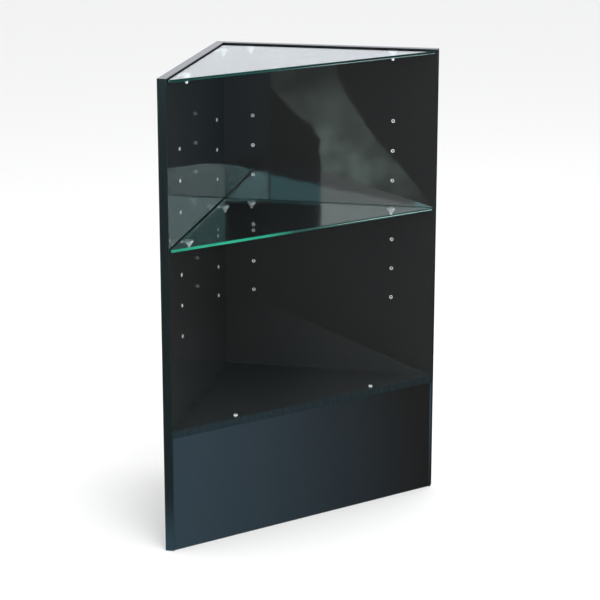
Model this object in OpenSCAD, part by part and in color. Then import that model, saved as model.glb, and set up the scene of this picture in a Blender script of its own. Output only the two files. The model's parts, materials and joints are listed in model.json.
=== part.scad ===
// Open corner display cabinet: two boards at a right angle, a raised deck with a kick board,
// one glass shelf on plug-in supports and a glass top let in between the boards.
// Front opening faces -Y, the closed corner is at +Y, +Z is up, and z = 0 is the floor.

/* [Overall size] */
// Height of the back boards, from the floor to their top edges
cabinet_h = 965; // [780:1:1400]
// Length of each back board along its outer face, from the closed corner to the front
leg_l = 475; // [380:1:700]
// Height of the deck's top surface above the floor
deck_h = 256; // [150:1:320]

/* [Boards] */
// Thickness of the two back boards
board_t = 18; // [15:0.5:25]
// Thickness of the deck board
deck_t = 16; // [15:0.5:25]
// Thickness of the kick board
kick_t = 18; // [15:0.5:25]
// How far the kick board stands back from the deck's front edge
kick_recess = 3; // [0:0.5:40]
// Thickness of the plastic edge bands
band_t = 1; // [0.4:0.1:2]

/* [Glass] */
// Thickness of the adjustable shelf
shelf_t = 6; // [5:0.5:10]
// Thickness of the glass top
top_t = 6; // [5:0.5:10]
// Depth of the glass top's surface below the boards' top edges
top_recess = 3; // [1:0.5:20]
// Gap between the glass and each board
glass_gap = 2; // [1:0.5:8]
// Length ground off each of the glass's sharp front corners, along its side
tip_cut = 3; // [1:0.5:10]
// Length ground off the glass's back corner, along each side
corner_cut = 5; // [1:0.5:15]

/* [Pin holes] */
// Number of holes in each column
pin_rows = 7; // [3:1:9]
// Distance between two holes
pin_pitch = 64; // [32:1:80]
// Distance from the top edge down to the highest hole
pin_drop = 154; // [80:1:200]
// Hole that the shelf's supports sit in, counted from the highest, which is 0
shelf_row = 3; // [0:1:6]
// Distance of the front column from the board's front end
column_front = 92; // [50:1:130]
// Distance of the rear column from the inside corner
column_rear = 63; // [45:1:110]
// Outer diameter of a sleeve's body
sleeve_d = 6.6; // [6.2:0.1:8]
// Length of a sleeve's body
sleeve_l = 10; // [9.5:0.5:12]
// Width of the rim around a sleeve's body
rim_w = 0.4; // [0.3:0.1:1.5]
// Thickness of a sleeve's rim
rim_t = 0.6; // [0.4:0.1:1]

/* [Supports] */
// Diameter of a support's pin
pin_d = 5; // [4.5:0.1:5.5]
// Length of the pin inside the sleeve
pin_l = 9; // [7:0.5:9.5]
// Distance from the board's face to the middle of a support's cup
arm_l = 16; // [14:0.5:22]
// Radius of the cup's rim
cup_r = 9; // [7:0.1:10]
// Height of the cup under the pad
cup_h = 14; // [10:0.5:18]
// Height of the glass's underside above the pin's centre line
seat_h = 3.5; // [3.4:0.1:6]
// Diameter of the collar that stops the pin at the sleeve, low enough to pass under the glass
collar_d = 6.2; // [5.6:0.1:6.6]
// Thickness of the collar
collar_t = 1.4; // [1:0.1:3]
// Radius of the arm between the board and the cup
arm_r = 2.2; // [1.8:0.1:2.4]
// Thickness of the clear pad between the cup and the glass
pad_t = 1; // [0.5:0.1:1.2]
// Diameter of the pad's stem
stem_d = 4; // [3:0.1:4.5]
// Length of the pad's stem
stem_l = 3.6; // [2:0.1:4]

/* [Fixings] */
// Length of the long screws
screw_l = 50; // [45:1:60]
// Shank diameter of the long screws
screw_d = 5; // [4:0.1:7]
// Diameter of a countersunk screw head
head_d = 9.5; // [8:0.1:12]
// Diameter of the pan heads on the deck's two front screws
pan_d = 9.5; // [8:0.1:12]
// Height of the pan heads
pan_h = 3.4; // [2.4:0.1:4]
// Number of screws along the closed corner
corner_screws_n = 4; // [3:1:6]
// Distance from the ends of the corner to its first and last screw
corner_inset = 70; // [50:1:100]
// Distance from the board's front end to the first deck screw
deck_screw_front = 80; // [70:1:120]
// Distance from the inside corner to the last deck screw
deck_screw_rear = 62; // [55:1:90]
// Half the distance between the two screws through the deck into the kick board
kick_screw_x = 168; // [100:1:200]
// Half the distance between the two dowels in the kick board
kick_dowel_x = 84; // [40:1:95]
// Diameter of the dowels
dowel_d = 8; // [6:0.5:9]
// Length of the dowels
dowel_l = 30; // [25:1:35]
// Depth of a dowel in the face of a board
dowel_sink = 10; // [8:0.5:11]

/* [Hidden] */
$fn = 48;

laminate = "#202225";
band_black = "#26282b";
glass_green = "#7fc4ad";
nickel = "#d9dade";
clear_vinyl = "#e9eef2";
steel = "#c3c6ca";
beech = "#c9a26b";

eps = 0.1;              // how far a cut runs past a face
fit = 0.05;             // clearance round a pin, sleeve, screw or dowel, on the radius
diagonal = sqrt(2);
half_depth = (leg_l + board_t) / diagonal / 2;
deck_z = deck_h - deck_t / 2;              // middle of the deck's thickness
shelf_pin_z = cabinet_h - pin_drop - shelf_row * pin_pitch;
shelf_z = shelf_pin_z + seat_h;            // underside of the shelf
top_z = cabinet_h - top_recess - top_t;    // underside of the glass top
top_pin_z = top_z - seat_h;
front_x = leg_l - column_front;            // the front column, measured from the closed corner
rear_x = board_t + column_rear;            // the rear column, measured from the closed corner
kick_y = kick_recess + kick_t / 2;         // middle of the kick board, behind the front plane
head_rim = 0.6;                            // straight rim of a countersunk head
head_h = (head_d - screw_d) / 2 + head_rim;
recess_w = 1;                              // width of a cross recess's slots
recess_l = 5;                              // length of a cross recess's slots
recess_depth = 1.8;
pan_round = 2;                             // radius of a pan head's rounded edge
foot_r = 3.2;                              // radius of the foot under a cup
foot_h = 4;
cup_lip = 1.7;                             // height of a cup's upright rim
pad_inset = 0.6;                           // how far the pad's foot lies inside the cup's rim
bore_spare = 0.5;                          // depth that a sleeve's or stem's bore has beyond it
deck_screw_xs = [leg_l - deck_screw_front, (leg_l - deck_screw_front + board_t + deck_screw_rear) / 2,
    board_t + deck_screw_rear];
deck_dowel_xs = [for (i = [0, 1]) (deck_screw_xs[i] + deck_screw_xs[i + 1]) / 2];
corner_step = (cabinet_h - 2 * corner_inset) / (corner_screws_n - 1);
corner_screw_zs = [for (i = [0 : corner_screws_n - 1]) corner_inset + i * corner_step];
corner_dowel_zs = [for (i = [0 : corner_screws_n - 2]) corner_inset + (i + 0.5) * corner_step];
pin_zs = [for (i = [0 : pin_rows - 1]) cabinet_h - pin_drop - i * pin_pitch];
hole_zs = concat(pin_zs, [top_pin_z]);

// The corner's own axes: x runs along the left board, y along the right board.
module corner_frame() translate([0, half_depth, 0]) rotate([0, 0, 225]) children();

// The same place on the right board as on the left board.
module right_side() mirror([1, -1, 0]) children();

// Stands at the inner face of the left board, at distance x from the closed corner:
// +Y leads into the cabinet.
module on_board(x, z) translate([x, board_t, z]) children();

// Stands on the middle plane of the kick board, x off the centre line, at height z.
module on_kick(x, z) translate([x, kick_y - half_depth, z]) children();

// A bar along +Y from y0 to y1.
module bar(d, y0, y1) translate([0, y0, 0]) rotate([-90, 0, 0]) cylinder(h = y1 - y0, d = d);

// A countersunk screw along +Y with its flat head at y = 0; grow is the clearance of its hole.
module screw(length, grow) {
    bar(head_d + 2 * grow, grow > 0 ? -eps : 0, head_rim);
    translate([0, head_rim, 0]) rotate([-90, 0, 0])
        cylinder(h = head_h - head_rim, d1 = head_d + 2 * grow, d2 = screw_d + 2 * grow);
    bar(screw_d + 2 * grow, head_h - eps, length + grow);
}

// The cross recess of a head whose top is at y = 0, cut towards +Y.
module cross_recess() for (turn = [0, 90]) rotate([0, turn, 0])
    translate([-recess_l / 2, -eps, -recess_w / 2]) cube([recess_l, recess_depth + eps, recess_w]);

module cross_screw(length) difference() {
    screw(length, 0);
    cross_recess();
}

// Half outline of a pan head: flat below, with a round edge on top.
function pan_outline() = concat(
    [[0, 0], [pan_d / 2, 0]],
    [for (turn = [0 : 15 : 90])
        [pan_d / 2 - pan_round * (1 - cos(turn)), pan_h - pan_round * (1 - sin(turn))]],
    [[0, pan_h]]);

// A pan-head screw that points down, with the underside of its head at z = 0.
module pan_screw(length) difference() {
    union() {
        rotate_extrude() polygon(pan_outline());
        translate([0, 0, -length]) cylinder(h = length + pan_h / 2, d = screw_d);
    }
    translate([0, 0, pan_h]) rotate([-90, 0, 0]) cross_recess();
}

// A dowel across the joint at y = board_t of the left board's axes.
module dowel(grow) translate([0, board_t - dowel_sink, 0]) bar(dowel_d + 2 * grow, -grow, dowel_l + grow);

// The bores of the deck's screws and dowels, in the left board or in the deck.
module deck_bores() {
    for (x = deck_screw_xs) translate([x, 0, deck_z]) screw(screw_l, fit);
    for (x = deck_dowel_xs) translate([x, 0, deck_z]) dowel(fit);
}

// The bores along the closed corner, through the left board into the right board's end.
module corner_bores() {
    for (z = corner_screw_zs) translate([board_t / 2, 0, z]) screw(screw_l, fit);
    for (z = corner_dowel_zs) translate([board_t / 2, 0, z]) dowel(fit);
}

// The bores of both sleeve columns in the left board.
module sleeve_bores() {
    for (x = [front_x, rear_x], z = hole_zs)
        on_board(x, z) bar(sleeve_d + 2 * fit, -sleeve_l - bore_spare, eps);
}

// The bores of the kick board's screws and dowels, down through the deck into the kick board.
module kick_bores() {
    for (side = [-1, 1]) {
        on_kick(side * kick_screw_x, deck_h - screw_l - fit)
            cylinder(h = screw_l + fit + eps, d = screw_d + 2 * fit);
        on_kick(side * kick_dowel_x, deck_h - deck_t - (dowel_l - dowel_sink) - fit)
            cylinder(h = dowel_l + 2 * fit, d = dowel_d + 2 * fit);
    }
}

module left_back_board() color(laminate) corner_frame() difference() {
    cube([leg_l - band_t, board_t, cabinet_h - band_t]);
    corner_bores();
    deck_bores();
    sleeve_bores();
}

module right_back_board() color(laminate) corner_frame() difference() {
    translate([0, board_t, 0]) cube([board_t, leg_l - board_t - band_t, cabinet_h - band_t]);
    corner_bores();
    right_side() deck_bores();
    right_side() sleeve_bores();
}

// The outline between the boards, from the inside corner to a front line that lies back from
// the front plane.
module inside_outline(back) {
    reach = leg_l - back * diagonal;
    polygon([[board_t, board_t], [reach, board_t], [board_t, reach]]);
}

module deck_board() color(laminate) difference() {
    corner_frame() difference() {
        translate([0, 0, deck_h - deck_t]) linear_extrude(deck_t) inside_outline(band_t);
        deck_bores();
        right_side() deck_bores();
    }
    kick_bores();
}

module kick_board() color(laminate) difference() {
    corner_frame() linear_extrude(deck_h - deck_t) difference() {
        inside_outline(kick_recess);
        inside_outline(kick_recess + kick_t);
    }
    kick_bores();
}

module left_front_edge_band() color(band_black) corner_frame()
    translate([leg_l - band_t, 0, 0]) cube([band_t, board_t, cabinet_h - band_t]);

module right_front_edge_band() color(band_black) corner_frame()
    translate([0, leg_l - band_t, 0]) cube([board_t, band_t, cabinet_h - band_t]);

module left_top_edge_band() color(band_black) corner_frame()
    translate([0, 0, cabinet_h - band_t]) cube([leg_l, board_t, band_t]);

module right_top_edge_band() color(band_black) corner_frame()
    translate([0, board_t, cabinet_h - band_t]) cube([board_t, leg_l - board_t, band_t]);

module deck_edge_band() color(band_black) corner_frame()
    translate([0, 0, deck_h - deck_t]) linear_extrude(deck_t) difference() {
        inside_outline(0);
        inside_outline(band_t);
    }

// A triangular pane with its three corners ground off, lying with its underside at height z.
module pane(z, t) {
    near = board_t + glass_gap;
    far = leg_l - glass_gap;
    color(glass_green) corner_frame() translate([0, 0, z]) linear_extrude(t) polygon([
        [near + corner_cut, near],
        [far - tip_cut, near],
        [far - tip_cut, near + tip_cut],
        [near + tip_cut, far - tip_cut],
        [near, far - tip_cut],
        [near, near + corner_cut]]);
}

module glass_shelf() pane(shelf_z, shelf_t);

module glass_top() pane(top_z, top_t);

// One column of metal sleeves in the left board.
module sleeve_column(x) color(nickel) for (z = hole_zs) on_board(x, z) difference() {
    union() {
        bar(sleeve_d, -sleeve_l, 0);
        bar(sleeve_d + 2 * rim_w, 0, rim_t);
    }
    bar(pin_d + 2 * fit, -sleeve_l - eps, rim_t + eps);
}

module left_front_pin_sleeves() corner_frame() sleeve_column(front_x);
module left_rear_pin_sleeves() corner_frame() sleeve_column(rear_x);
module right_front_pin_sleeves() corner_frame() right_side() sleeve_column(front_x);
module right_rear_pin_sleeves() corner_frame() right_side() sleeve_column(rear_x);

// Half outline of a support's cup: a round foot that widens like a funnel to a flat rim.
function cup_outline(top) = let (foot = top - cup_h) [
    [0, foot], [foot_r / 2, foot], [foot_r - 0.4, foot + 1.2], [foot_r, foot + foot_h],
    [cup_r - 1.2, top - 2 * cup_lip], [cup_r, top - cup_lip], [cup_r, top], [0, top]];

// A support plugged in at (0, 0, 0): its pin runs back into the sleeve, its cup stands at +Y.
module support() {
    cup_top = seat_h - pad_t;
    difference() {
        union() {
            bar(pin_d, -pin_l, rim_t + collar_t / 2);
            bar(collar_d, rim_t, rim_t + collar_t);
            bar(2 * arm_r, rim_t + collar_t / 2, arm_l - cup_r / 2);
            translate([0, arm_l, 0]) rotate_extrude() polygon(cup_outline(cup_top));
        }
        translate([0, arm_l, cup_top - stem_l - bore_spare])
            cylinder(h = stem_l + bore_spare + eps, d = stem_d + 2 * fit);
    }
}

// The clear pad in a support's cup: a stem and a shallow round lens under the glass.
module pad() {
    cup_top = seat_h - pad_t;
    translate([0, arm_l, cup_top - stem_l]) cylinder(h = stem_l + pad_t / 2, d = stem_d);
    translate([0, arm_l, cup_top]) cylinder(h = pad_t, r1 = cup_r - pad_inset, r2 = cup_r - pad_inset / 3);
}

module shelf_support_left_front() color(nickel) corner_frame() on_board(front_x, shelf_pin_z) support();
module shelf_support_left_rear() color(nickel) corner_frame() on_board(rear_x, shelf_pin_z) support();
module shelf_support_right_front() color(nickel) corner_frame() right_side()
    on_board(front_x, shelf_pin_z) support();
module shelf_support_right_rear() color(nickel) corner_frame() right_side()
    on_board(rear_x, shelf_pin_z) support();

module shelf_pad_left_front() color(clear_vinyl) corner_frame() on_board(front_x, shelf_pin_z) pad();
module shelf_pad_left_rear() color(clear_vinyl) corner_frame() on_board(rear_x, shelf_pin_z) pad();
module shelf_pad_right_front() color(clear_vinyl) corner_frame() right_side()
    on_board(front_x, shelf_pin_z) pad();
module shelf_pad_right_rear() color(clear_vinyl) corner_frame() right_side()
    on_board(rear_x, shelf_pin_z) pad();

module top_support_left_front() color(nickel) corner_frame() on_board(front_x, top_pin_z) support();
module top_support_left_rear() color(nickel) corner_frame() on_board(rear_x, top_pin_z) support();
module top_support_right_front() color(nickel) corner_frame() right_side()
    on_board(front_x, top_pin_z) support();
module top_support_right_rear() color(nickel) corner_frame() right_side()
    on_board(rear_x, top_pin_z) support();

module top_pad_left_front() color(clear_vinyl) corner_frame() on_board(front_x, top_pin_z) pad();
module top_pad_left_rear() color(clear_vinyl) corner_frame() on_board(rear_x, top_pin_z) pad();
module top_pad_right_front() color(clear_vinyl) corner_frame() right_side()
    on_board(front_x, top_pin_z) pad();
module top_pad_right_rear() color(clear_vinyl) corner_frame() right_side()
    on_board(rear_x, top_pin_z) pad();

module corner_screws() color(steel) corner_frame()
    for (z = corner_screw_zs) translate([board_t / 2, 0, z]) cross_screw(screw_l);

module corner_dowels() color(beech) corner_frame()
    for (z = corner_dowel_zs) translate([board_t / 2, 0, z]) dowel(0);

module deck_screw_row() for (x = deck_screw_xs) translate([x, 0, deck_z]) cross_screw(screw_l);

module left_deck_screws() color(steel) corner_frame() deck_screw_row();
module right_deck_screws() color(steel) corner_frame() right_side() deck_screw_row();

module deck_dowel_row() for (x = deck_dowel_xs) translate([x, 0, deck_z]) dowel(0);

module left_deck_dowels() color(beech) corner_frame() deck_dowel_row();
module right_deck_dowels() color(beech) corner_frame() right_side() deck_dowel_row();

module kick_screws() color(steel) for (side = [-1, 1])
    on_kick(side * kick_screw_x, deck_h) pan_screw(screw_l);

module kick_dowels() color(beech) for (side = [-1, 1])
    on_kick(side * kick_dowel_x, deck_h - deck_t - (dowel_l - dowel_sink))
        cylinder(h = dowel_l, d = dowel_d);

left_back_board();
right_back_board();
deck_board();
kick_board();
left_front_edge_band();
right_front_edge_band();
left_top_edge_band();
right_top_edge_band();
deck_edge_band();
glass_shelf();
glass_top();
left_front_pin_sleeves();
left_rear_pin_sleeves();
right_front_pin_sleeves();
right_rear_pin_sleeves();
shelf_support_left_front();
shelf_support_left_rear();
shelf_support_right_front();
shelf_support_right_rear();
shelf_pad_left_front();
shelf_pad_left_rear();
shelf_pad_right_front();
shelf_pad_right_rear();
top_support_left_front();
top_support_left_rear();
top_support_right_front();
top_support_right_rear();
top_pad_left_front();
top_pad_left_rear();
top_pad_right_front();
top_pad_right_rear();
corner_screws();
corner_dowels();
left_deck_screws();
right_deck_screws();
left_deck_dowels();
right_deck_dowels();
kick_screws();
kick_dowels();
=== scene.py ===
"""Looks of an open corner display cabinet: gloss black boards, glass shelf and top, in a pale studio."""
import json
import math

import bmesh
import bpy
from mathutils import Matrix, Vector

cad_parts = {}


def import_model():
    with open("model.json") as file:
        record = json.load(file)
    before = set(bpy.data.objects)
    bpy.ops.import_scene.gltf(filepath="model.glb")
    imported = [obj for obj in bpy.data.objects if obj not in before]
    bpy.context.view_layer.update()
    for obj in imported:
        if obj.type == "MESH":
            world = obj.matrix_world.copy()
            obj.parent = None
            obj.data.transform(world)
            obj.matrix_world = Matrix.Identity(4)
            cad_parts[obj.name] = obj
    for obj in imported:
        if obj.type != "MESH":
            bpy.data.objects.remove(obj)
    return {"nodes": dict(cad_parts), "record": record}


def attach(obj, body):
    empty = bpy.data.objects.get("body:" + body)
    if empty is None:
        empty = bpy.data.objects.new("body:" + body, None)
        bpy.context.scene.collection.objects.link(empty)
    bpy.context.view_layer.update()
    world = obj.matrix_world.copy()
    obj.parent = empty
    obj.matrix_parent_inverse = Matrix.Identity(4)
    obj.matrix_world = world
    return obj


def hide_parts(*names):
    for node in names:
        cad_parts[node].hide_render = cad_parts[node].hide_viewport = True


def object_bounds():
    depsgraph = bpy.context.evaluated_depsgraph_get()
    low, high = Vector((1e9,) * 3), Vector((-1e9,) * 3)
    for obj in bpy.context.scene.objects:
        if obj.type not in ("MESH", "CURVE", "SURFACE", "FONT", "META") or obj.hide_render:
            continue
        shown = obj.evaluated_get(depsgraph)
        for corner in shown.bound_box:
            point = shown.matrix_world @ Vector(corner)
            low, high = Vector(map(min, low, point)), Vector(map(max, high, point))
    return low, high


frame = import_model()
cad_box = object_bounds()

MM = 0.001
NODES = frame["nodes"]
BODY_OF = {node: body for body, nodes in frame["record"]["behaviour"]["bodies"].items() for node in nodes}
SLOT_OF = {part["node"]: part["material_slot"] for part in frame["record"]["subparts"]}
GROUND = Vector(cad_box[0]).z


# ---------------------------------------------------------------- node trees

class Tree:
    """A node tree under construction, with a short call for each step that repeats."""

    def __init__(self, tree):
        self.tree = tree
        self.ways = self.node("ShaderNodeTexCoord")

    def node(self, kind, links=(), **settings):
        """A new node. Links has its inputs, each fed by a socket or set to a value."""
        made = self.tree.nodes.new(kind)
        for name, value in settings.items():
            setattr(made, name, value)
        for socket, value in dict(links).items():
            self.feed(made.inputs[socket], value)
        return made

    def feed(self, socket, value):
        if isinstance(value, bpy.types.NodeSocket):
            self.tree.links.new(value, socket)
        else:
            socket.default_value = value

    def calculate(self, operation, *values, clamp=False):
        made = self.node("ShaderNodeMath", enumerate(values), operation=operation, use_clamp=clamp)
        return made.outputs[0]

    def axes(self, vector):
        """The x, y and z of a vector, as three sockets."""
        return self.node("ShaderNodeSeparateXYZ", {0: vector}).outputs

    def spread(self, value, low, high, to_low, to_high):
        """Turns the range from low to high into the range from to_low to to_high, and stops at its ends."""
        made = self.node("ShaderNodeMapRange", {"Value": value, "From Min": low, "From Max": high,
                                                "To Min": to_low, "To Max": to_high})
        return made.outputs[0]

    def blend(self, value, first, second):
        """The first colour where value is 0, and the second where it is 1."""
        made = self.node("ShaderNodeMix", data_type="RGBA")
        self.feed(made.inputs[0], value)
        self.feed(made.inputs[6], first)
        self.feed(made.inputs[7], second)
        return made.outputs[2]

    def seen_in_gloss(self):
        """1 for what is seen in a gloss, and 0 for what is seen straight or lights a matt surface."""
        path = self.node("ShaderNodeLightPath").outputs
        by_gloss = self.calculate("MINIMUM", path["Glossy Depth"], 1.0)
        return self.calculate("SUBTRACT", by_gloss, path["Is Diffuse Ray"], clamp=True)


class Shader(Tree):
    """A material under construction: its node tree, its surface shader and its grain."""

    def __init__(self, name):
        self.material = bpy.data.materials.new(name)
        self.material.use_nodes = True
        super().__init__(self.material.node_tree)
        self.surface = self.tree.nodes["Principled BSDF"]
        self.output = self.tree.nodes["Material Output"]
        self.place = self.ways.outputs["Object"]

    def set(self, **values):
        for name, value in values.items():
            self.feed(self.surface.inputs[name.replace("_", " ")], value)

    def noise(self, scale, detail=2.0, roughness=0.5, stretch=(1, 1, 1)):
        """Noise with scale waves per metre, stretched along the axes."""
        mapped = self.node("ShaderNodeMapping", {"Vector": self.place, "Scale": stretch})
        made = self.node("ShaderNodeTexNoise", {"Vector": mapped.outputs[0], "Scale": scale,
                                                "Detail": detail, "Roughness": roughness})
        return made.outputs[0]

    def bump(self, *layers):
        """Stacks height layers, each (height, depth in metres), into the surface's normal."""
        normal = None
        for height, depth in layers:
            made = self.node("ShaderNodeBump", {"Height": height, "Distance": depth, "Strength": 1.0})
            if normal:
                self.feed(made.inputs["Normal"], normal)
            normal = made.outputs[0]
        self.feed(self.surface.inputs["Normal"], normal)


# ---------------------------------------------------------------- materials

GLASS_IOR = 1.52
LAMINATE_TONE = (0.0145, 0.0158, 0.0163)
WIPED_TONE = (0.018, 0.018, 0.018)
DUST_COLOUR = (0.12, 0.12, 0.115, 1)


def lit(tone, light):
    """The tone times light, as a colour."""
    return (*(part * light for part in tone), 1)


def gloss_laminate(name, light, smooth, worn, dusty=0.2):
    """Black melamine: faint orange peel, wiping haze and a little dust. Its tone is light times the boards'
    own, where a light above 1 is painted light and a light below 1 painted shade, and its roughness goes
    from smooth to worn with the haze."""
    m = Shader(name)
    haze = m.noise(5, detail=5, roughness=0.6, stretch=(1, 1, 0.45))
    dust = m.spread(m.noise(900, detail=1), 0.72, 0.8, 0, dusty)
    tone = m.blend(haze, lit(LAMINATE_TONE, light), lit(WIPED_TONE, light))
    m.set(Base_Color=m.blend(dust, tone, DUST_COLOUR), Roughness=m.spread(haze, 0.3, 0.75, smooth, worn),
          IOR=1.5)
    m.bump((m.noise(55, detail=1), 2.2e-5), (m.noise(420, detail=2), 1.2e-6))
    return m.material


def chipboard():
    """Raw cut edges under the boards: pressed wood chips."""
    m = Shader("raw_chipboard")
    chips = m.node("ShaderNodeTexVoronoi", {"Vector": m.place, "Scale": 420.0}).outputs["Color"]
    fine = m.noise(1500, detail=4)
    m.set(Base_Color=m.blend(chips, (0.32, 0.2, 0.11, 1), (0.55, 0.4, 0.25, 1)),
          Roughness=m.spread(fine, 0.2, 0.8, 0.7, 0.95))
    m.bump((fine, 2e-4))
    return m.material


def edge_band(name, smooth, rough, gloss):
    """Black plastic edge banding with a fine pebble and draw lines. Its roughness goes from smooth to rough
    across the lines, and gloss is its specular level."""
    m = Shader(name)
    lines = m.noise(700, detail=2, stretch=(1, 1, 0.02))
    m.set(Base_Color=m.blend(lines, (0.005, 0.009, 0.010, 1), (0.011, 0.016, 0.018, 1)),
          Roughness=m.spread(lines, 0.2, 0.8, smooth, rough), Specular_IOR_Level=gloss)
    m.bump((lines, 6e-6), (m.noise(2500), 4e-6))
    return m.material


def green_depth(m):
    """The green that float glass takes on over a long way through."""
    depth = m.node("ShaderNodeVolumeAbsorption", {"Color": (0.28, 0.86, 0.66, 1), "Density": 9.0})
    m.feed(m.output.inputs["Volume"], depth.outputs[0])


def float_glass():
    """The faces of clear float glass: polished by the fire, with the faintest wave and a few wipe marks."""
    m = Shader("clear_float_glass")
    wiped = m.noise(14, detail=4, stretch=(1, 2.5, 1))
    m.set(Base_Color=(1, 1, 1, 1), Transmission_Weight=1.0, IOR=GLASS_IOR,
          Roughness=m.spread(wiped, 0.45, 0.8, 0.0, 0.035))
    m.bump((m.noise(4, detail=0), 6e-5))
    green_depth(m)
    return m.material


def ground_edge_with_painted_light(name, bright, dark, painted_shade_from):
    """Ground edges of the glass, with fine cross scratches and green tones with painted light. The painted
    glow tones bright = (low, high) turn into the painted shade tones dark over the last stretch before the
    last argument, a way in metres to the right and a little forward."""
    turn, forward = 0.07, 0.4
    m = Shader(name)
    scratch = m.noise(1400, detail=3, stretch=(1, 1, 0.2))
    patches = m.spread(m.noise(9, detail=2), 0.3, 0.7, 0, 1)
    x, y, _ = m.axes(m.place)
    way = m.calculate("MULTIPLY_ADD", y, -forward, x)
    # Painted shade: the edge's green goes from the painted glow to dark towards the right
    painted_shade_mask = m.spread(way, painted_shade_from - turn, painted_shade_from, 0, 1)
    m.set(Base_Color=m.blend(painted_shade_mask, m.blend(patches, *bright), m.blend(patches, *dark)),
          Transmission_Weight=0.25, IOR=GLASS_IOR, Roughness=m.spread(scratch, 0.3, 0.7, 0.1, 0.2))
    m.bump((scratch, 8e-6))
    green_depth(m)
    return m.material


def nickel(name, low, high):
    """Bright nickel plating with a slightly uneven cast surface, whose roughness goes from low to high."""
    m = Shader(name)
    cast = m.noise(260, detail=3)
    m.set(Base_Color=m.blend(cast, (0.8, 0.8, 0.82, 1), (0.93, 0.93, 0.95, 1)), Metallic=0.4,
          Roughness=m.spread(cast, 0.25, 0.75, low, high))
    m.bump((m.noise(700, detail=2), 1.5e-5))
    return m.material


def clear_vinyl():
    """Soft clear vinyl, milky."""
    m = Shader("clear_vinyl")
    cloud = m.noise(300, detail=3)
    m.set(Base_Color=m.blend(cloud, (0.86, 0.9, 0.94, 1), (0.97, 0.98, 1, 1)), Transmission_Weight=0.15,
          IOR=1.46, Roughness=m.spread(cloud, 0.3, 0.7, 0.18, 0.34))
    m.bump((m.noise(1200), 1e-5))
    return m.material


def zinc_steel():
    """Zinc-plated screw steel, turned, with a faint bluish passivation."""
    m = Shader("zinc_plated_steel")
    turned = m.noise(1800, detail=2)
    m.set(Base_Color=m.blend(turned, (0.7, 0.72, 0.75, 1), (0.88, 0.89, 0.9, 1)), Metallic=0.5,
          Roughness=m.spread(turned, 0.2, 0.8, 0.2, 0.36))
    m.bump((turned, 1e-5))
    return m.material


def beech():
    """Bare beech dowels with short dark flecks along the grain."""
    m = Shader("beech")
    grain = m.noise(240, detail=4, stretch=(1, 1, 0.15))
    m.set(Base_Color=m.blend(grain, (0.42, 0.26, 0.14, 1), (0.68, 0.5, 0.32, 1)),
          Roughness=m.spread(grain, 0.2, 0.8, 0.55, 0.75))
    m.bump((grain, 1e-4))
    return m.material


# The finish of each of the record's material slots
FINISHES = {
    "gloss_black_laminate": gloss_laminate("gloss_black_laminate", 1.0, 0.02, 0.06),
    "black_edge_band": edge_band("black_edge_band", 0.14, 0.26, 0.5),
    "clear_float_glass": float_glass(),
    "nickel_plated_sleeve": nickel("nickel_plated_sleeve", 0.18, 0.32),
    "nickel_plated_support": nickel("nickel_plated_support", 0.1, 0.22),
    "clear_vinyl": clear_vinyl(),
    "zinc_plated_steel": zinc_steel(),
    "beech": beech(),
}
# Pieces that have a finish of their own instead. The deck's laminate is a lighter copy, painted light, and
# rougher from wear; the kick's is a darker copy, painted shade.
OWN_FINISHES_AND_PAINTED_LIGHT = {
    "deck_board": gloss_laminate("worn_black_laminate_painted_light", 1.2, 0.3, 0.38, 0.02),
    "kick_board": gloss_laminate("black_laminate_painted_shade", 0.6, 0.02, 0.06),
    "deck_edge_band": edge_band("matt_black_edge_band", 0.2, 0.32, 0.18),
}
CHIPBOARD = chipboard()
# Ground edges of each glass piece in green tones with painted light: a painted glow on the left that turns
# into painted shade to the right, all darker on the top
GROUND_EDGES = {
    "glass_shelf": ground_edge_with_painted_light("ground_shelf_edge_painted_light", ((0.005, 0.17, 0.09, 1), (0.02, 0.36, 0.22, 1)),
                               ((0.006, 0.035, 0.024, 1), (0.012, 0.06, 0.045, 1)), 0.04),
    "glass_top": ground_edge_with_painted_light("ground_top_edge_painted_light", ((0.001, 0.026, 0.019, 1), (0.004, 0.045, 0.034, 1)),
                             ((0.002, 0.012, 0.01, 1), (0.005, 0.025, 0.021, 1)), 0.1),
}


# ---------------------------------------------------------------- pieces

# Points closer than WELD become one point, faces that tilt less than FLAT become one face, and where two
# faces tilt by more than SHARP, the edge between them is eased
WELD = 2e-6
FLAT = math.radians(0.4)
SHARP = math.radians(32)
# A face is level when the z of its normal is past LEVEL, and upright when it isn't
LEVEL = 0.9
# A level face this close to the ground stands on it
STANDS = 0.5 * MM

# The width of the eased edges and the segments across them, for each slot whose edges are eased. The pads
# also shrink a little, to keep a hair's breadth away from the glass.
EASES = {
    "gloss_black_laminate": (0.35 * MM, 2),
    "black_edge_band": (0.3 * MM, 2),
    "clear_float_glass": (0.9 * MM, 1),
    "nickel_plated_support": (0.3 * MM, 2),
    "clear_vinyl": (0.1 * MM, 1, 0.06 * MM),
}


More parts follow.
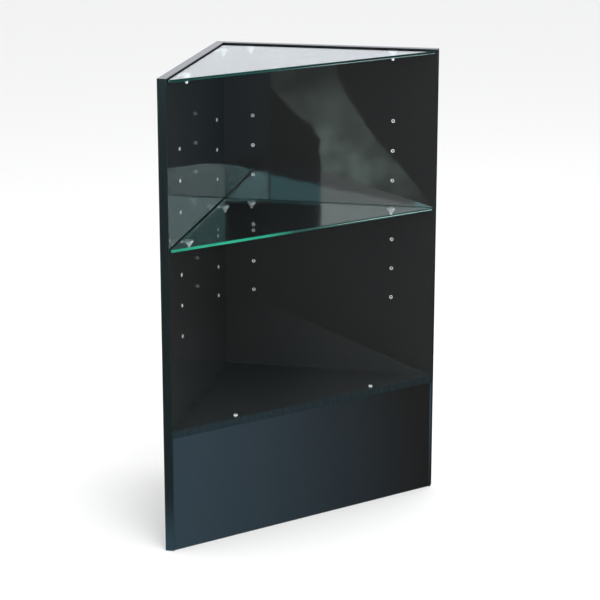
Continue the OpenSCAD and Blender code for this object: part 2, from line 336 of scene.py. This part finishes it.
def eased_copy(node, width, segments, shrink=0.0):
    """A piece with the node's shape and its edges eased by width, which stands for the node."""
    mesh = NODES[node].data.copy()
    work = bmesh.new()
    work.from_mesh(mesh)
    bmesh.ops.remove_doubles(work, verts=work.verts, dist=WELD)
    bmesh.ops.dissolve_limit(work, angle_limit=FLAT, verts=work.verts, edges=work.edges)
    sharp = [edge for edge in work.edges if edge.is_manifold and edge.calc_face_angle(0) > SHARP]
    bmesh.ops.bevel(work, geom=sharp, offset=width, segments=segments, profile=0.5, affect="EDGES",
                    clamp_overlap=True)
    if shrink:
        work.normal_update()
        for vert in work.verts:
            vert.co -= shrink * vert.normal
    work.to_mesh(mesh)
    work.free()
    mesh.name = "eased_" + node
    piece = bpy.data.objects.new("eased_" + node, mesh)
    bpy.context.scene.collection.objects.link(piece)
    mesh.materials.clear()
    mesh.materials.append(OWN_FINISHES_AND_PAINTED_LIGHT.get(node, FINISHES[SLOT_OF[node]]))
    for face in mesh.polygons:
        face.material_index = 0
        face.use_smooth = True
    weigh = piece.modifiers.new("flat_faces", "WEIGHTED_NORMAL")
    weigh.weight = 100
    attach(piece, BODY_OF[node])
    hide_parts(node)
    return piece


def second_material(piece, material, belongs):
    """Gives another material to the faces that belongs(face) picks."""
    piece.data.materials.append(material)
    for face in piece.data.polygons:
        if belongs(face):
            face.material_index = 1


def stands_on_floor(face):
    return face.normal.z < -LEVEL and face.center.z < GROUND + STANDS


def is_upright(face):
    return abs(face.normal.z) < LEVEL


def finish_piece(node):
    """Gives a node its finish, on a copy with eased edges where its slot has them."""
    slot = SLOT_OF[node]
    if slot not in EASES:
        NODES[node].data.materials.clear()
        NODES[node].data.materials.append(FINISHES[slot])
        return
    piece = eased_copy(node, *EASES[slot])
    if slot == "gloss_black_laminate":
        second_material(piece, CHIPBOARD, stands_on_floor)
    if slot == "clear_float_glass":
        second_material(piece, GROUND_EDGES[node], is_upright)


for name in sorted(NODES):
    finish_piece(name)


# ---------------------------------------------------------------- studio

WHITE = (1, 1, 1, 1)
# The inside of the closed corner, and the ways from there to the reflectors on the left and in front
CORNER = Vector((0, 0.149, 0))
SIDE = Vector((-0.839, -0.544, 0))
FRONT = Vector((-0.544, -0.839, 0))


def card(name, place, facing, outline, colour, strength, brightest=None):
    """A flat glowing reflector that only gloss sees. Its outline's points are (along, height) in metres,
    along a horizontal line at right angles to facing, from place on the floor. With a brightest point it
    fades and clouds away from there."""
    facing = Vector(facing).normalized()
    along = Vector((-facing.y, facing.x, 0))
    corners = [place + along * way + Vector((0, 0, height)) for way, height in outline]
    mesh = bpy.data.meshes.new(name)
    mesh.from_pydata(corners, [], [range(len(corners))])
    piece = bpy.data.objects.new(name, mesh)
    bpy.context.scene.collection.objects.link(piece)
    m = Shader(name)
    if brightest:
        near, far, left_over = 0.06, 0.27, 0.2
        centre = place + along * brightest[0] + Vector((0, 0, brightest[1]))
        away = m.node("ShaderNodeVectorMath", {0: m.place, 1: centre}, operation="DISTANCE")
        fading = m.spread(away.outputs["Value"], near, far, strength, left_over * strength)
        clouds = m.spread(m.noise(8, detail=2), 0.42, 0.58, 0.5, 1.0)
        strength = m.calculate("MULTIPLY", fading, clouds)
    glow = m.node("ShaderNodeEmission", {"Color": (*colour, 1), "Strength": strength})
    m.feed(m.output.inputs["Surface"], glow.outputs[0])
    mesh.materials.append(m.material)
    piece.visible_camera = False
    piece.visible_diffuse = False
    piece.visible_transmission = False
    piece.visible_shadow = False


def oblong(left, right, low, high):
    return [(left, low), (right, low), (right, high), (left, high)]


def side_cards():
    """Four cards in one plane: the slanting one for the pale patch on the right board, and above it three
    that meet, for the pale gloss of the glass."""
    place = CORNER + 1.5 * SIDE
    left, seam, right = -0.25, 0.234, 0.556
    at_seam, at_right, top = 0.946, 1.013, 1.15
    card("slanting_reflector", place, SIDE,
         [(0.03, 0.72), (0.27, 0.72), (0.282, 0.635), (0.308, 0.577), (0.349, 0.515), (0.396, 0.446),
          (0.452, 0.384), (0.5, 0.328), (0.563, 0.246), (seam, 0.255), (0.237, 0.328), (0.23, 0.453),
          (0.206, 0.495), (0.173, 0.515), (0.132, 0.556), (0.085, 0.604), (0.048, 0.653)],
         colour=(0.78, 1.05, 0.93), strength=2.0, brightest=(0.27, 0.37))
    card("high_reflector_left", place, SIDE,
         [(left, 0.834), (seam, at_seam), (seam, 0.998), (left, 0.975)],
         colour=(0.3, 0.85, 0.95), strength=5.0)
    card("high_reflector_right", place, SIDE,
         [(seam, at_seam), (right, at_right), (right, top), (seam, top)],
         colour=(0.85, 1.0, 0.98), strength=8.7)
    card("low_reflector_right", place, SIDE,
         [(seam, 0.87), (right, 0.968), (right, at_right), (seam, at_seam)],
         colour=(0.9, 1.0, 0.97), strength=4.2)


def front_cards():
    """Cards in front of the cabinet: three high ones for the veil over the shelf, two of which meet at a
    slanting seam, and two low, far and dim ones."""
    near, middle, far = (CORNER + distance * FRONT for distance in (1.2, 1.4, 2.4))
    left = 0.037
    seam = [(left, 0.92), (0.187, 1.06)]
    card("front_reflector", near, FRONT, [(left, 0.815), (0.25, 0.81), (0.25, 1.12), *reversed(seam)],
         colour=(0.7, 1.0, 1.03), strength=20.0)
    card("front_reflector_right", middle, FRONT,
         [(-0.081, 0.886), (0.04, 0.858), (0.04, 0.967), (-0.081, 0.965)],
         colour=(0.5, 0.95, 1.0), strength=14.0)
    card("front_reflector_top", near, FRONT, [*seam, (0.2, 1.14), (left, 1.14)],
         colour=(0.45, 1.0, 0.98), strength=8.5)
    teal_seam, low, high = 0.075, 0.16, 0.5
    card("front_teal", far, FRONT, oblong(teal_seam, 0.35, low, high),
         colour=(0.0, 0.7, 0.95), strength=0.45)
    card("front_teal_right", far, FRONT,
         [(-0.08, 0.19), (teal_seam, low), (teal_seam, high), (-0.08, high)],
         colour=(0.1, 0.3, 0.4), strength=0.9)


def shelf_edge_card():
    """A low card in front on the right, for the pale right half of the shelf's front edge."""
    place, facing = Vector((1.1, -1.44, 0)), (-0.55, 0.835, 0)
    card("shelf_edge_glint", place, facing, oblong(-0.45, 0.138, 0.1, 0.42),
         colour=(0.75, 1.0, 1.05), strength=13.0)


def area_light(name, place, aim, size, power):
    """A lamp that is seen neither straight, nor in a gloss, nor through glass."""
    data = bpy.data.lights.new(name, "AREA")
    data.shape = "RECTANGLE"
    data.size, data.size_y = size
    data.energy = power
    lamp = bpy.data.objects.new(name, data)
    lamp.location = place
    lamp.rotation_mode = "QUATERNION"
    lamp.rotation_quaternion = (Vector(aim) - Vector(place)).to_track_quat("-Z", "Y")
    lamp.visible_camera = False
    lamp.visible_glossy = False
    lamp.visible_transmission = False
    bpy.context.scene.collection.objects.link(lamp)


def floor():
    """White, but dark to the gloss above it, with one pale blue patch that the kick board picks up. The
    patch brightens and fades again along one way over the floor, in metres from the origin."""
    half, gap = 9, 0.2 * MM
    way_x, way_y = 0.806, 0.523
    brightens, fades = (-0.62, -0.42), (-0.33, 0.16)
    mesh = bpy.data.meshes.new("studio_floor")
    corners = [(-half, -half, 0), (half, -half, 0), (half, half, 0), (-half, half, 0)]
    mesh.from_pydata(corners, [], [range(4)])
    piece = bpy.data.objects.new("studio_floor", mesh)
    piece.location.z = GROUND - gap
    bpy.context.scene.collection.objects.link(piece)
    m = Shader("studio_floor")
    m.set(Base_Color=(0.9, 0.9, 0.9, 1), Roughness=0.9)
    x, y, _ = m.axes(m.place)
    way = m.calculate("MULTIPLY_ADD", y, way_y, m.calculate("MULTIPLY", x, way_x))
    patch = m.calculate("MULTIPLY", m.spread(way, *brightens, 0, 1), m.spread(way, *fades, 1, 0))
    glow = m.node("ShaderNodeEmission", {"Color": (0.4, 0.82, 1.15, 1), "Strength": patch})
    seen = m.seen_in_gloss()
    pick = m.node("ShaderNodeMixShader", {0: seen, 1: m.surface.outputs[0], 2: glow.outputs[0]})
    m.feed(m.output.inputs["Surface"], pick.outputs[0])
    mesh.materials.append(m.material)


def world():
    """Even white light. Gloss sees it white behind the cabinet and dim in front."""
    dim, bright = (0.03, 0.07, 0.09, 1), (1.14, 1.17, 1.24, 1)
    dim_until, bright_from = -0.1, 0.5
    made = bpy.data.worlds.new("studio")
    bpy.context.scene.world = made
    made.use_nodes = True
    tree = Tree(made.node_tree)
    _, y, _ = tree.axes(tree.ways.outputs["Generated"])
    in_gloss = tree.blend(tree.spread(y, dim_until, bright_from, 0, 1), dim, bright)
    back = made.node_tree.nodes["Background"]
    tree.feed(back.inputs["Color"], tree.blend(tree.seen_in_gloss(), WHITE, in_gloss))
    back.inputs["Strength"].default_value = 1.0


def camera():
    azimuth, tilt, distance = math.radians(-33.373), math.radians(15.329), 4.2607
    target = Vector((0.0962, 0, 0.4865))
    away = Vector((math.sin(azimuth) * math.cos(tilt), -math.cos(azimuth) * math.cos(tilt), math.sin(tilt)))
    data = bpy.data.cameras.new("camera")
    data.sensor_width = 36
    data.lens = 119.43
    data.shift_y = -0.05
    eye = bpy.data.objects.new("camera", data)
    eye.location = target + away * distance
    eye.rotation_mode = "QUATERNION"
    eye.rotation_quaternion = (-away).to_track_quat("-Z", "Y")
    bpy.context.scene.collection.objects.link(eye)
    bpy.context.scene.camera = eye


floor()
world()
area_light("overhead", place=(0.3, -0.3, 3.2), aim=(0, 0, 0.3), size=(3, 3), power=45)
area_light("front", place=(-0.7, -3.0, 1.0), aim=(0, 0, 0.5), size=(1.8, 1.2), power=55)
side_cards()
front_cards()
shelf_edge_card()
camera()
bpy.context.scene.view_settings.view_transform = "Standard"
